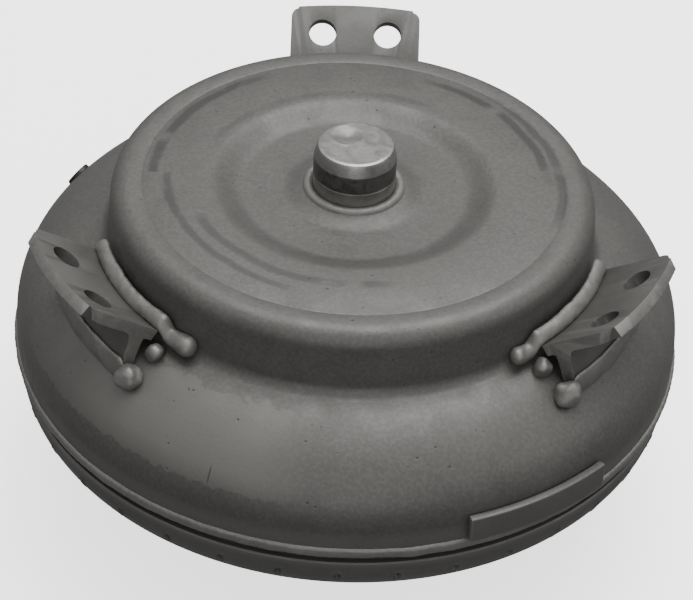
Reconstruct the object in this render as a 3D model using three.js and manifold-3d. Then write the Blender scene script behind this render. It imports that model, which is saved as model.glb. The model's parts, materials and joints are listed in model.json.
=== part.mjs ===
// A lock-up torque converter for an automatic transmission, standing on its pump hub with its engine side up.
// Units are millimetres, +Z is the axis of rotation, pointing at the engine, and z = 0 is the pump hub's end.
// Heights in the driving dimensions are measured from the widest plane of the cover, which lies hubDepth up.

import * as THREE from "three";
import { mergeVertices } from "three/addons/utils/BufferGeometryUtils.js";
import Module from "manifold-3d";

const wasm = await Module();
wasm.setup();

// ---------------------------------------------------------------------------------------------------------
// Driving dimensions
// ---------------------------------------------------------------------------------------------------------

const hubDepth = 84; // from the widest plane down to the pump hub's end
const fitGap = 0.35; // between parts that are welded, pressed or bolted together
const runGap = 0.5; // between parts that turn or slide on each other
const sides = { shell: 36, disc: 28, boss: 20, race: 16, pin: 6 }; // facets round each kind of round part

const cover = {
  sheet: 3.6,
  widest: 127,
  crownOuterRadius: 24.1,
  crownOuterEnd: 40, // degrees above the widest plane where the tight outer curve ends
  crownInnerRadius: 51.1,
  crownInnerEnd: 75,
  waistFillet: 5,
  flankTop: [90.7, 51.3],
  shoulderFillet: 7.1,
  dishEdge: 54.4,
  dishFoot: 41.5,
  dishFloor: 54,
  bossFoot: 26,
  bossTop: 56.3,
  bore: 16.1,
  skirtEnd: -9.5,
  skirtBore: 124.75,
  skirtOuter: 127.2,
  skirtStep: -1.2,
  bossRound: [3.6, 0.4], // how far out and down the boss's top rounds over
};
const shoulderTop = cover.flankTop[1] + cover.shoulderFillet;

const pilot = { radius: 15.45, tip: 13.7, top: 75.1, taper: 5.6, bottom: 50.4 };

const lug = {
  slope: 37.56, // degrees that the bolting plate rises outwards
  holeCircle: 111.4,
  holeHeight: 50.7,
  holeHalfSpacing: 13.3,
  holeRadius: 5.57,
  sheet: 4.5,
  halfWidth: 26.3,
  inner: 97.5,
  outer: 121.2,
  // The leg leaves the plate's underside inboard of the holes and stands on the crown: (radius, height).
  legOuterTop: 107.9,
  legOuter: [
    [109, 37.6],
    [110.4, 34.6],
    [110.9, 31],
  ],
  footOuter: 111,
  footInner: 107.3,
  legInner: [
    [106, 31.6],
    [104.3, 36],
  ],
  legInnerTop: 103.4,
  cornerCut: 4,
  azimuths: { rear: 90, left: 210, right: 330 },
  endAngle: 15.4, // degrees from a bracket's middle to the ends of its inner edge
  planStart: 80, // radii that the trimming outline runs between, well clear of the section
  planEnd: 140,
};

const seam = { bottom: -12.4, top: -7.9, radius: 128.3 };

const impeller = {
  sheet: 3,
  rimEdge: -15.8,
  rimRadius: 126.9,
  neckRadius: 124.4,
  neckTop: -2.2,
  cornerRadius: 14.5,
  cornerCenter: [111.7, -19.7],
  cornerEnd: -50.9, // degrees below the widest plane where the rim's tight curve ends
  bellyRadius: 56,
  innerRadius: 36,
  innerEnd: -140,
  hubFillet: 12,
  hubHole: 34.1,
  blades: 37,
  bladeThickness: 1.1,
};

const pumpHub = {
  outer: 23.8,
  bore: 20.2,
  flange: 33.7,
  flangeBottom: -30.5,
  flangeTop: -21.5,
  slotWidth: 9,
  slotDepth: 8,
  chamfer: 0.8,
};

const turbine = {
  blades: 31,
  center: [84.5, -6.5],
  shellHalfWidth: 35.8,
  shellHalfHeight: 28,
  sheet: 1.8,
  hubFlange: 36,
  hubFlangeHeights: [6.3, 10.6],
  hubRadius: 21.3,
  hubTop: 46.6,
  sealGroove: { bottom: 43.6, top: 45.4, depth: 1.8 },
  splineHeights: [29.5, 38.5],
  splineTeeth: 12,
  splineRoot: 21.9,
  splineTip: 23.9,
  shaftBore: 12.6,
  shaftTeeth: 14,
  bladeThickness: 0.9,
};

const coreRing = { center: 85, halfWidth: 18, halfHeight: 13, sheet: 1.5 };

const stator = {
  blades: 15,
  hubInner: 33.9,
  hubOuter: 37.6,
  rimInner: 47,
  rimOuter: 49.4,
  bottom: -17.6,
  top: 2.6,
  vaneHalfThickness: 1.1,
  vaneLean: [-6, 14], // degrees, at a vane's lower and upper edge
};

const bearing = {
  stator: [24.5, 32.5], // inner and outer radius of the two bearings beside the stator
  cover: [13.4, 20.4],
  raceSheet: 0.8,
  needleDiameter: 1.8,
  needles: 8,
  cageSheet: 1.2,
  rim: 1,
};

const clutch = {
  rollers: 6,
  rollerRadius: 2.8,
  rollerLength: 12.4,
  pitch: 26.1,
  cageInner: 24.2,
  cageOuter: 28,
  raceOuter: 23,
  camInner: 29.2,
  camDepth: 1.1,
  camOuter: 33.5,
  bottom: -14.8,
  top: 0,
  capSheet: 1.8,
  bore: 16.6,
  teeth: 16,
};

const piston = {
  sheet: 3,
  bore: 21.8,
  webTop: 46.4,
  faceTop: 52.2,
  webEdge: 46,
  faceEdge: 58,
  rim: 85.4,
  rimChamfer: 1.6,
  skirtEnd: 42,
  skirtSheet: 2.4,
  liningInner: 62,
  liningOuter: 81,
  liningTop: 53.5,
};

const damper = {
  height: 35,
  springs: 6,
  springCircle: 66,
  springRadius: 6.9,
  wire: 2.6,
  turns: 4,
  springLength: 34,
  hubDisc: 3.4,
  hubOuter: 77.5,
  hubBore: 25.4,
  boss: 31,
  plate: 1.8,
  plateGap: 3.2, // from the hub disc's middle to the inside of each side plate
  plateInner: 46,
  plateOuter: 82.4,
  rivetCircle: 79.9,
  rivetRadius: 1.8,
  rivetHead: 2.4,
  rivetHeadHeight: 1,
};

const balance = { start: 290, end: 316, bottom: -7, top: 3.4, sheet: 3.2 };

const plug = {
  azimuth: 152.2,
  crownAngle: 33,
  radius: 5.2,
  proud: 1.3,
  depth: 5,
  socketRadius: 2.6,
  socketDepth: 3.5,
};

// ---------------------------------------------------------------------------------------------------------
// Finishes
// ---------------------------------------------------------------------------------------------------------

function finish(color, roughness, metalness) {
  return new THREE.MeshStandardMaterial({ color, roughness, metalness });
}

const blastedSteel = finish(0x77746e, 0.62, 0.75);
const turnedSteel = finish(0x8a8883, 0.35, 0.9);
const weldSteel = finish(0x85827c, 0.5, 0.8);
const hardSteel = finish(0x9a9a9c, 0.22, 1);
const bladeSteel = finish(0x8f8c86, 0.4, 0.9);
const springSteel = finish(0x3b3a3c, 0.35, 0.8);
const castAluminium = finish(0xb4b5b6, 0.5, 0.9);
const blackSteel = finish(0x2b2a29, 0.45, 0.7);
const frictionPaper = finish(0x5a4636, 0.9, 0);
const sealPlastic = finish(0x4a3a22, 0.5, 0);

// ---------------------------------------------------------------------------------------------------------
// Outlines and solids
// ---------------------------------------------------------------------------------------------------------

const radians = THREE.MathUtils.degToRad;

// A point at an angle, in degrees, from a centre in the (radius, height) half-plane.
function polar([r, z], radius, degrees) {
  return [r + radius * Math.cos(radians(degrees)), z + radius * Math.sin(radians(degrees))];
}

// Points along an arc, both ends included.
function arc(center, radius, from, to, steps) {
  return Array.from({ length: steps + 1 }, (_, i) => polar(center, radius, from + ((to - from) * i) / steps));
}

// A point on an ellipse, at an angle in degrees.
function onEllipse([r, z], halfWidth, halfHeight, degrees) {
  return [r + halfWidth * Math.cos(radians(degrees)), z + halfHeight * Math.sin(radians(degrees))];
}

// A ring swept round the axis from a closed outline of [radius, height] points.
function revolve(outline, segments) {
  const points = outline.map(([r, z]) => new THREE.Vector2(r, z));
  if (THREE.ShapeUtils.area(points) < 0) points.reverse();
  return new THREE.LatheGeometry([...points, points[0]], segments).rotateX(Math.PI / 2);
}

// A disc or boss swept round the axis from an outline that starts and ends on it.
function revolveSolid(outline, segments) {
  const points = outline.map(([r, z]) => new THREE.Vector2(r, z));
  if (THREE.ShapeUtils.area(points) < 0) points.reverse();
  return new THREE.LatheGeometry(points, segments).rotateX(Math.PI / 2);
}

// A plate standing on the height `bottom`, from an outline in plan and its holes.
function plate(outline, holes, bottom, top) {
  const shape = new THREE.Shape(outline.map(([x, y]) => new THREE.Vector2(x, y)));
  for (const hole of holes) shape.holes.push(new THREE.Path(hole.map(([x, y]) => new THREE.Vector2(x, y))));
  const geometry = new THREE.ExtrudeGeometry(shape, { depth: top - bottom, bevelEnabled: false });
  return geometry.translate(0, 0, bottom);
}

// A closed outline in plan whose radius is a function of the azimuth in degrees.
function roundOutline(radiusAt, count) {
  return Array.from({ length: count }, (_, i) => {
    const azimuth = (360 * i) / count;
    return polar([0, 0], radiusAt(azimuth), azimuth);
  });
}

// A splined outline in plan: each tooth has two points at its tip and two at its root.
function splineOutline(teeth, root, tip) {
  return Array.from({ length: teeth * 4 }, (_, i) => {
    const atTip = i % 4 < 2;
    return polar([0, 0], atTip ? tip : root, ((i + 0.5) * 90) / teeth);
  });
}

// Blades standing on a core ring, as one closed surface. The ring's two faces and the blades' free edge are
// curves with the same number of [radius, height] points, and the ring's facets end at the blades.
function bladedRing(count, { edge, outside, inside }, lean, thickness) {
  const positions = [];
  const last = edge.length - 1;
  const addPoint = ([r, z], azimuth) =>
    positions.push(r * Math.cos(azimuth), r * Math.sin(azimuth), z) / 3 - 1;
  const stations = Array.from({ length: 2 * count }, (_, j) => {
    const middle = (360 * Math.floor(j / 2)) / count;
    const side = j % 2 ? thickness / 2 : -thickness / 2;
    const place = (point, k) => addPoint(point, radians(middle + lean(k / last)) + side / point[0]);
    return { edge: edge.map(place), outside: outside.map(place), inside: inside.map(place) };
  });
  const faces = [];
  const quad = (a, b, c, d) => faces.push(a, b, c, a, c, d);
  stations.forEach((here, j) => {
    const next = stations[(j + 1) % stations.length];
    const inBlade = j % 2 === 0;
    const skin = inBlade ? "edge" : "outside";
    for (let k = 0; k < last; k++) {
      quad(here[skin][k], next[skin][k], next[skin][k + 1], here[skin][k + 1]);
      quad(here.inside[k], here.inside[k + 1], next.inside[k + 1], next.inside[k]);
      if (inBlade) quad(here.edge[k], here.edge[k + 1], here.outside[k + 1], here.outside[k]);
      else quad(here.edge[k + 1], here.edge[k], here.outside[k], here.outside[k + 1]);
    }
    const layers = inBlade ? ["edge", "outside", "inside"] : ["outside", "inside"];
    for (let n = 1; n < layers.length; n++) {
      const [upper, lower] = [layers[n - 1], layers[n]];
      quad(next[upper][0], here[upper][0], here[lower][0], next[lower][0]);
      quad(here[upper][last], next[upper][last], next[lower][last], here[lower][last]);
    }
  });
  return closedGeometry(positions, faces);
}

function closedGeometry(positions, faces) {
  const geometry = new THREE.BufferGeometry();
  geometry.setAttribute("position", new THREE.Float32BufferAttribute(positions, 3));
  geometry.setIndex(faces);
  return toGeometry(toSolid(geometry));
}

function toSolid(geometry) {
  const bare = geometry.clone();
  bare.deleteAttribute("normal");
  bare.deleteAttribute("uv");
  const merged = mergeVertices(bare, 1e-3);
  const vertProperties = new Float32Array(merged.attributes.position.array);
  const solid = new wasm.Manifold(
    new wasm.Mesh({ numProp: 3, vertProperties, triVerts: new Uint32Array(merged.index.array) }),
  );
  if (solid.volume() > 0) return solid;
  const flipped = new Uint32Array(merged.index.array).reverse();
  return new wasm.Manifold(new wasm.Mesh({ numProp: 3, vertProperties, triVerts: flipped }));
}

function toGeometry(solid) {
  const { vertProperties, triVerts } = solid.getMesh();
  const geometry = new THREE.BufferGeometry();
  geometry.setAttribute("position", new THREE.BufferAttribute(vertProperties, 3));
  geometry.setIndex(new THREE.BufferAttribute(triVerts, 1));
  return geometry;
}

const join = (...geometries) => toGeometry(geometries.map(toSolid).reduce((all, next) => all.add(next)));
const cut = (geometry, ...tools) =>
  toGeometry(tools.reduce((left, tool) => left.subtract(toSolid(tool)), toSolid(geometry)));
const common = (a, b) => toGeometry(toSolid(a).intersect(toSolid(b)));

const converter = new THREE.Group();
converter.name = "torque_converter";
const assembly = new THREE.Group();
assembly.position.z = hubDepth;
converter.add(assembly);

function addPart(name, geometry, material, group = assembly) {
  const mesh = new THREE.Mesh(geometry, material);
  mesh.name = name;
  group.add(mesh);
  return mesh;
}

// ---------------------------------------------------------------------------------------------------------
// Front cover, pilot and drain plug
// ---------------------------------------------------------------------------------------------------------

const crownCenter = [cover.widest - cover.crownOuterRadius, 0];
const crownJoin = polar(crownCenter, cover.crownOuterRadius, cover.crownOuterEnd);
const innerCrownCenter = polar(crownJoin, -cover.crownInnerRadius, cover.crownOuterEnd);
const waistCenter = polar(innerCrownCenter, cover.crownInnerRadius + cover.waistFillet, cover.crownInnerEnd);
const shoulderCenter = [cover.flankTop[0] - cover.shoulderFillet, cover.flankTop[1]];

// Height of the crown's outside at a radius, between its tight curve and the waist.
const crownHeight = (r, lift = 0) =>
  innerCrownCenter[1] + Math.sqrt((cover.crownInnerRadius + lift) ** 2 - (r - innerCrownCenter[0]) ** 2);

// One face of the cover from the boss in the middle to the widest plane, `inset` below its outside.
function coverFace(inset, curveSteps) {
  const { crownInnerEnd, crownOuterEnd } = cover;
  const slope = Array.from({ length: 3 }, (_, i) => {
    const share = i / 2;
    const r = cover.dishFoot + inset * 0.3 + (cover.dishEdge - cover.dishFoot) * share;
    const rise = (shoulderTop - cover.dishFloor) * (0.5 - 0.5 * Math.cos(Math.PI * share));
    return [r, cover.dishFloor + rise - inset];
  });
  return [
    [cover.bore, cover.bossTop - inset],
    [cover.bore + cover.bossRound[0], cover.bossTop - cover.bossRound[1] - inset],
    [cover.bossFoot, cover.dishFloor - inset],
    ...slope,
    ...arc(shoulderCenter, cover.shoulderFillet - inset, 90, 0, curveSteps),
    ...arc(waistCenter, cover.waistFillet + inset, 180, 180 + crownInnerEnd, 2),
    ...arc(innerCrownCenter, cover.crownInnerRadius - inset, crownInnerEnd, crownOuterEnd, 2).slice(1),
    ...arc(crownCenter, cover.crownOuterRadius - inset, crownOuterEnd, 0, 2).slice(1),
  ];
}

const coverOutline = [
  ...coverFace(0, 3),
  [cover.skirtOuter, cover.skirtEnd],
  [cover.skirtBore, cover.skirtEnd],
  [cover.skirtBore, cover.skirtStep],
  ...coverFace(cover.sheet, 1).reverse(),
];

// The plug's own frame: its axis leaves the crown square to the sheet.
const plugSeat = polar(crownCenter, cover.crownOuterRadius, plug.crownAngle);
const plugGroup = new THREE.Group();
plugGroup.position.set(
  plugSeat[0] * Math.cos(radians(plug.azimuth)),
  plugSeat[0] * Math.sin(radians(plug.azimuth)),
  plugSeat[1],
);
plugGroup.rotation.set(0, radians(90 - plug.crownAngle), radians(plug.azimuth), "ZYX");
assembly.add(plugGroup);
plugGroup.updateMatrix();

// A peg along Z through the origin, for pins and for drilling holes.
function peg(radius, length, facets) {
  return new THREE.CylinderGeometry(radius, radius, length, facets).rotateX(Math.PI / 2);
}

const plugHole = peg(plug.radius + fitGap, 12, 12).applyMatrix4(plugGroup.matrix);
addPart("front_cover", cut(revolve(coverOutline, sides.shell), plugHole), blastedSteel);

const hexSocket = peg(plug.socketRadius, 2 * plug.socketDepth, 6).translate(0, 0, plug.proud);
const plugBody = revolveSolid(
  [
    [0, -plug.depth],
    [plug.radius - 0.5, -plug.depth],
    [plug.radius, -plug.depth + 1],
    [plug.radius, plug.proud - 0.6],
    [plug.radius - 0.7, plug.proud],
    [0, plug.proud],
  ],
  12,
);
addPart("drain_plug", cut(plugBody, hexSocket), blackSteel, plugGroup);

const pilotOutline = [
  [0, pilot.bottom],
  [pilot.radius, pilot.bottom],
  [pilot.radius, pilot.top - pilot.taper],
  [pilot.tip + 0.8, pilot.top - 1.8],
  [pilot.tip, pilot.top],
  [0, pilot.top],
];
addPart("pilot_hub", revolveSolid(pilotOutline, sides.boss), turnedSteel);

const pilotWeldOutline = [
  [pilot.radius + fitGap, cover.bossTop + fitGap],
  [pilot.radius + 3.2, cover.bossTop + fitGap - 0.1],
  [pilot.radius + 2.2, cover.bossTop + 1.1],
  [pilot.radius + fitGap, cover.bossTop + 1.5],
];
addPart("pilot_weld", revolve(pilotWeldOutline, sides.boss), weldSteel);

// ---------------------------------------------------------------------------------------------------------
// Lug brackets and their welds
// ---------------------------------------------------------------------------------------------------------

const plateRise = Math.tan(radians(lug.slope));
const plateTop = (r) => lug.holeHeight + (r - lug.holeCircle) * plateRise;
const plateNormal = [-Math.sin(radians(lug.slope)), Math.cos(radians(lug.slope))];
const underPlate = ([r, z]) => [r - plateNormal[0] * lug.sheet, z - plateNormal[1] * lug.sheet];

const undersideAt = (r) => [r, plateTop(r) - lug.sheet / plateNormal[1]];
const onCrown = (r) => [r, crownHeight(r, 2 * fitGap)];

// One sheet folded like a T lying on its side: the bolting plate, and the leg that holds it off the crown.
const lugSection = [
  [lug.inner, plateTop(lug.inner)],
  [lug.outer, plateTop(lug.outer)],
  underPlate([lug.outer, plateTop(lug.outer)]),
  undersideAt(lug.legOuterTop),
  ...lug.legOuter,
  onCrown(lug.footOuter),
  onCrown(lug.footInner),
  ...lug.legInner,
  undersideAt(lug.legInnerTop),
  underPlate([lug.inner, plateTop(lug.inner)]),
];

// A bracket's outline in plan, with its outer corners cut back.
const lugHalfPlan = [
  [lug.planStart, lug.halfWidth],
  [lug.outer - lug.cornerCut - 3, lug.halfWidth],
  [lug.outer - 1.6, lug.halfWidth - lug.cornerCut],
  [lug.planEnd, lug.halfWidth - lug.cornerCut - 2],
];
const lugPlan = [...lugHalfPlan.map(([x, y]) => [x, -y]), ...lugHalfPlan.toReversed()];
const lugSegments = 72;

// A bracket pointing along +X: the section swept round the axis, trimmed in plan and drilled.
function lugBracket() {
  const ring = revolve(lugSection, lugSegments).rotateZ(Math.PI / 2 - Math.PI / lugSegments);
  const [holeR, holeZ] = [lug.holeCircle, lug.holeHeight];
  const drills = [-1, 1].map((side) =>
    peg(lug.holeRadius, 12, 12)
      .rotateY(-radians(lug.slope))
      .translate(holeR, side * lug.holeHalfSpacing, holeZ),
  );
  return cut(common(ring, plate(lugPlan, [], 0, 80)), ...drills);
}

// A bead lying along an arc about the axis; its section, in the (radius, height) plane, shrinks at the ends.
function arcBead(section, from, to) {
  const steps = 7;
  const endSize = 0.56;
  const mean = (k) => section.reduce((sum, point) => sum + point[k] / section.length, 0);
  const [midR, midZ] = [mean(0), mean(1)];
  const positions = [];
  for (let i = 0; i <= steps; i++) {
    const share = i / steps;
    const size = Math.min(1, endSize + 1.4 * Math.min(share, 1 - share));
    const azimuth = radians(from + (to - from) * share);
    for (const [r, z] of section) {
      const beadR = midR + (r - midR) * size;
      positions.push(beadR * Math.cos(azimuth), beadR * Math.sin(azimuth), midZ + (z - midZ) * size);
    }
  }
  const count = section.length;
  const faces = [];
  for (let i = 0; i < steps; i++) {
    for (let k = 0; k < count; k++) {
      const [a, b] = [i * count + k, i * count + ((k + 1) % count)];
      faces.push(a, b, b + count, a, b + count, a + count);
    }
  }
  for (let k = 1; k < count - 1; k++) {
    faces.push(0, k + 1, k);
    faces.push(steps * count, steps * count + k, steps * count + k + 1);
  }
  return closedGeometry(positions, faces);
}

// The upper bead fills the V between the cover's flank and the plate's inner edge, above and below the plate.
const flankGap = cover.flankTop[0] + 1 + 2 * fitGap;
const upperWeldSection = [
  [flankGap + 0.3, 39.2],
  [flankGap - 0.6, 47],
  [94.9, 45.4],
  [98.2, 41.6],
  [96.8, 40.2],
  [98, 37.4],
];

// The lower bead lies on the crown against the outside of the bracket's leg.
const legGap = 0.15;
const lowerWeldSection = [
  onCrown(lug.footOuter + legGap),
  [lug.footOuter + legGap, 31],
  [lug.footOuter, 32.5],
  [112.2, 32.2],
  [113.4, 29],
  onCrown(113.6),
];

// Degrees that each bead runs past the bracket's two ends; negative at its start is outwards.
const upperWeldReach = { rear: [-3, 3], left: [-1, 9], right: [-7, 1] };
const lowerWeldReach = { rear: [0, 0], left: [-2, 1], right: [-1, 2] };

for (const [side, azimuth] of Object.entries(lug.azimuths)) {
  const station = new THREE.Group();
  station.rotation.z = radians(azimuth);
  assembly.add(station);
  const [upperFrom, upperTo] = upperWeldReach[side];
  const [lowerFrom, lowerTo] = lowerWeldReach[side];
  const upper = arcBead(upperWeldSection, upperFrom - lug.endAngle, upperTo + lug.endAngle);
  const lower = arcBead(lowerWeldSection, lowerFrom - lug.endAngle, lowerTo + lug.endAngle);
  addPart(`lug_bracket_${side}`, lugBracket(), blastedSteel, station);
  addPart(`lug_upper_weld_${side}`, upper, weldSteel, station);
  addPart(`lug_lower_weld_${side}`, lower, weldSteel, station);
}

// ---------------------------------------------------------------------------------------------------------
// Seam weld and balance weight
// ---------------------------------------------------------------------------------------------------------

const seamOutline = [
  [cover.skirtBore, seam.bottom],
  [seam.radius - 1.2, seam.bottom],
  [seam.radius, seam.bottom + 1.6],
  [seam.radius - 0.1, seam.top],
  [cover.skirtOuter + fitGap, seam.top - 0.3],
  [cover.skirtOuter + fitGap, cover.skirtEnd - fitGap],
  [cover.skirtBore, cover.skirtEnd - fitGap],
];
addPart("seam_weld", revolve(seamOutline, sides.shell), weldSteel);

// The weight is a strip bent round the cover's wall, cut from a ring by a sector in plan.
function balanceWeight() {
  const inside = cover.widest + fitGap;
  const ring = revolve(
    [
      [inside, balance.bottom + 0.4],
      [inside + balance.sheet, balance.bottom],
      [inside + balance.sheet - 0.3, balance.top],
      [inside, balance.top],
    ],
    96,
  );
  const sector = plate(
    [[0, 0], polar([0, 0], 160, balance.start), polar([0, 0], 160, balance.end)],
    [],
    -20,
    20,
  );
  return common(ring, sector);
}
addPart("balance_weight", balanceWeight(), blastedSteel);

// ---------------------------------------------------------------------------------------------------------
// Impeller: shell, blades on their core ring, and the pump hub
// ---------------------------------------------------------------------------------------------------------

const rimTurn = polar(impeller.cornerCenter, impeller.cornerRadius, impeller.cornerEnd);
const bellyCenter = polar(rimTurn, -impeller.bellyRadius, impeller.cornerEnd);
const innerCenter = [bellyCenter[0], bellyCenter[1] - impeller.bellyRadius + impeller.innerRadius];
const hubFilletCenter = polar(innerCenter, impeller.innerRadius + impeller.hubFillet, impeller.innerEnd);

function impellerFace(inset) {
  const hubFilletRadius = impeller.hubFillet + inset;
  return [
    ...arc(impeller.cornerCenter, impeller.cornerRadius - inset, 0, impeller.cornerEnd, 2),
    ...arc(bellyCenter, impeller.bellyRadius - inset, impeller.cornerEnd, -90, 2).slice(1),
    ...arc(innerCenter, impeller.innerRadius - inset, -90, impeller.innerEnd, 2).slice(1),
    ...arc(hubFilletCenter, hubFilletRadius, impeller.innerEnd + 180, 90, 1).slice(1),
    [impeller.hubHole, hubFilletCenter[1] + hubFilletRadius],
  ];
}

const impellerOutline = [
  [impeller.neckRadius - impeller.sheet, impeller.neckTop],
  [impeller.neckRadius, impeller.neckTop],
  [impeller.neckRadius, impeller.rimEdge + fitGap],
  [impeller.rimRadius - 0.5, impeller.rimEdge + fitGap],
  [impeller.rimRadius, impeller.rimEdge - 0.3],
  ...impellerFace(0),
  ...impellerFace(impeller.sheet).reverse(),
  [impeller.neckRadius - impeller.sheet, impeller.rimEdge],
];
addPart("impeller_shell", revolve(impellerOutline, sides.shell), blastedSteel);

const midPlane = { impeller: -10, turbine: -6.5 };
const bladeInset = impeller.sheet + fitGap + 0.6;
const belly = (degrees) => polar(bellyCenter, impeller.bellyRadius - bladeInset, degrees);

// The two faces of a core ring's half torus at the given angles round its section, in degrees.
function coreFaces(height, angles) {
  const { center, halfWidth, halfHeight, sheet } = coreRing;
  const face = (inset) => (degrees) =>
    onEllipse([center, height], halfWidth - inset, halfHeight - inset, degrees);
  return { outside: angles.map(face(0)), inside: angles.map(face(sheet)) };
}

const impellerBlades = {
  edge: [
    [impeller.neckRadius - bladeInset, midPlane.impeller],
    [impeller.neckRadius - bladeInset, -21.5],
    belly(-76),
    [53, -23.4],
  ],
  ...coreFaces(midPlane.impeller, [0, -42, -84, -180]),
};
const impellerLean = (share) => -14 * share * share;
addPart(
  "impeller_blade_ring",
  bladedRing(impeller.blades, impellerBlades, impellerLean, impeller.bladeThickness),
  bladeSteel,
);

const hubEnd = -hubDepth;
const pumpHubOutline = [
  [pumpHub.bore + pumpHub.chamfer, hubEnd],
  [pumpHub.outer - pumpHub.chamfer, hubEnd],
  [pumpHub.outer, hubEnd + pumpHub.chamfer],
  [pumpHub.outer, pumpHub.flangeBottom - 2],
  [pumpHub.outer + 2, pumpHub.flangeBottom],
  [pumpHub.flange, pumpHub.flangeBottom],
  [pumpHub.flange, pumpHub.flangeTop],
  [pumpHub.bore, pumpHub.flangeTop],
  [pumpHub.bore, hubEnd + pumpHub.chamfer],
];
const driveSlots = new THREE.BoxGeometry(80, pumpHub.slotWidth, 2 * pumpHub.slotDepth);
driveSlots.translate(0, 0, hubEnd);
addPart("pump_hub", cut(revolve(pumpHubOutline, sides.disc), driveSlots), turnedSteel);

const shellUnderside = hubFilletCenter[1] + impeller.hubFillet;
const hubWeldOutline = [
  [pumpHub.flange + fitGap, shellUnderside - fitGap],
  [pumpHub.flange + 3.8, shellUnderside - fitGap],
  [pumpHub.flange + 3, shellUnderside - 1.9],
  [pumpHub.flange + fitGap, shellUnderside - 3.6],
];
addPart("pump_hub_weld", revolve(hubWeldOutline, sides.disc), weldSteel);

// ---------------------------------------------------------------------------------------------------------
// Thrust bearings: a race washer and a cage of needles on each side of the stator and under the cover
// ---------------------------------------------------------------------------------------------------------

const washerOutline = (inner, outer, bottom, sheet) => [
  [inner, bottom],
  [outer, bottom],
  [outer, bottom + sheet],
  [inner, bottom + sheet],
];

// A flat cage with radial needles standing a little proud of it on both sides.
function needleCage([inner, outer], bottom) {
  const { needleDiameter, needles, cageSheet, rim } = bearing;
  const cageBottom = bottom + (needleDiameter - cageSheet) / 2;
  const cage = revolve(washerOutline(inner, outer, cageBottom, cageSheet), sides.race);
  const needle = (i) =>
    peg(needleDiameter / 2, outer - inner - 2 * rim, 4)
      .rotateY(Math.PI / 2)
      .translate((inner + outer) / 2, 0, bottom + needleDiameter / 2)
      .rotateZ((2 * Math.PI * (i + 0.5)) / needles);
  return join(cage, ...Array.from({ length: needles }, (_, i) => needle(i)));
}

function thrustBearing(name, [inner, outer], raceBottom, cageBottom) {
  const race = revolve(washerOutline(inner, outer, raceBottom, bearing.raceSheet), sides.race);
  addPart(`${name}_race`, race, hardSteel);
  addPart(`${name}_cage`, needleCage([inner, outer], cageBottom), hardSteel);
}

const rearRaceBottom = pumpHub.flangeTop + fitGap;
thrustBearing("rear_bearing", bearing.stator, rearRaceBottom, rearRaceBottom + bearing.raceSheet + fitGap);

const frontRaceBottom = turbine.hubFlangeHeights[0] - fitGap - bearing.raceSheet;
const frontCageBottom = frontRaceBottom - fitGap - bearing.needleDiameter;
thrustBearing("front_bearing", bearing.stator, frontRaceBottom, frontCageBottom);

const coverRaceBottom = turbine.hubTop + fitGap;
thrustBearing("cover_bearing", bearing.cover, coverRaceBottom, coverRaceBottom + bearing.raceSheet + fitGap);

// ---------------------------------------------------------------------------------------------------------
// Stator wheel and its one-way clutch
// ---------------------------------------------------------------------------------------------------------

// A vane between the hub and the rim: a six-sided block whose upper edge leans ahead of its lower one.
function statorVane(azimuth) {
  const { hubOuter, rimInner, bottom, top, vaneHalfThickness, vaneLean } = stator;
  const positions = [];
  const edges = [
    [bottom + 2, vaneLean[0]],
    [top - 2, vaneLean[1]],
  ];
  for (const [z, lean] of edges) {
    for (const r of [hubOuter - 0.8, rimInner + 1.8]) {
      for (const side of [-vaneHalfThickness, vaneHalfThickness]) {
        const angle = radians(azimuth + lean) + side / r;
        positions.push(r * Math.cos(angle), r * Math.sin(angle), z);
      }
    }
  }
  const sidesOfBlock = [
    [0, 2, 3, 1],
    [4, 5, 7, 6],
    [0, 1, 5, 4],
    [2, 6, 7, 3],
    [0, 4, 6, 2],
    [1, 3, 7, 5],
  ];
  return closedGeometry(positions, sidesOfBlock.flatMap(([a, b, c, d]) => [a, b, c, a, c, d]));
}

function statorWheel() {
  const { hubInner, hubOuter, rimInner, rimOuter, bottom, top } = stator;
  const hub = revolve(washerOutline(hubInner, hubOuter, bottom, top - bottom), sides.disc);
  const rim = revolve(washerOutline(rimInner, rimOuter, bottom + 3, top - bottom - 6), sides.disc);
  const vanes = Array.from({ length: stator.blades }, (_, i) => statorVane((360 * i) / stator.blades));
  return join(hub, rim, ...vanes);
}
addPart("stator_wheel", statorWheel(), castAluminium);

// The outer race's bore has one ramp for each roller, deepest where the roller runs free.
const camRadius = (degrees) => {
  const span = 360 / clutch.rollers;
  const share = ((degrees + span / 2) % span) / span;
  return clutch.camInner + clutch.camDepth * Math.sin(Math.PI * share) ** 2;
};
addPart(
  "clutch_outer_race",
  plate(
    roundOutline(() => clutch.camOuter, sides.boss),
    [roundOutline(camRadius, 24)],
    clutch.bottom,
    clutch.top,
  ),
  hardSteel,
);

const clutchMiddle = (clutch.bottom + clutch.top) / 2;
for (let i = 0; i < clutch.rollers; i++) {
  const shape = peg(clutch.rollerRadius, clutch.rollerLength, 10);
  const roller = addPart(`clutch_roller_${i + 1}`, shape, hardSteel);
  roller.position.set(...polar([0, 0], clutch.pitch, (360 * i) / clutch.rollers), clutchMiddle);
}

// A plate cage with a window for each roller, pressed between the races.
function rollerCage() {
  const { cageInner, cageOuter, rollerRadius, rollerLength, bottom, top } = clutch;
  const outline = washerOutline(cageInner, cageOuter, bottom + fitGap, top - bottom - 2 * fitGap);
  const clearance = 0.8;
  const windows = Array.from({ length: clutch.rollers }, (_, i) =>
    new THREE.BoxGeometry(10, 2 * rollerRadius + clearance, rollerLength + clearance)
      .translate(clutch.pitch, 0, clutchMiddle)
      .rotateZ((2 * Math.PI * i) / clutch.rollers),
  );
  return cut(revolve(outline, sides.boss), ...windows);
}
addPart("clutch_cage", rollerCage(), springSteel);

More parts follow.
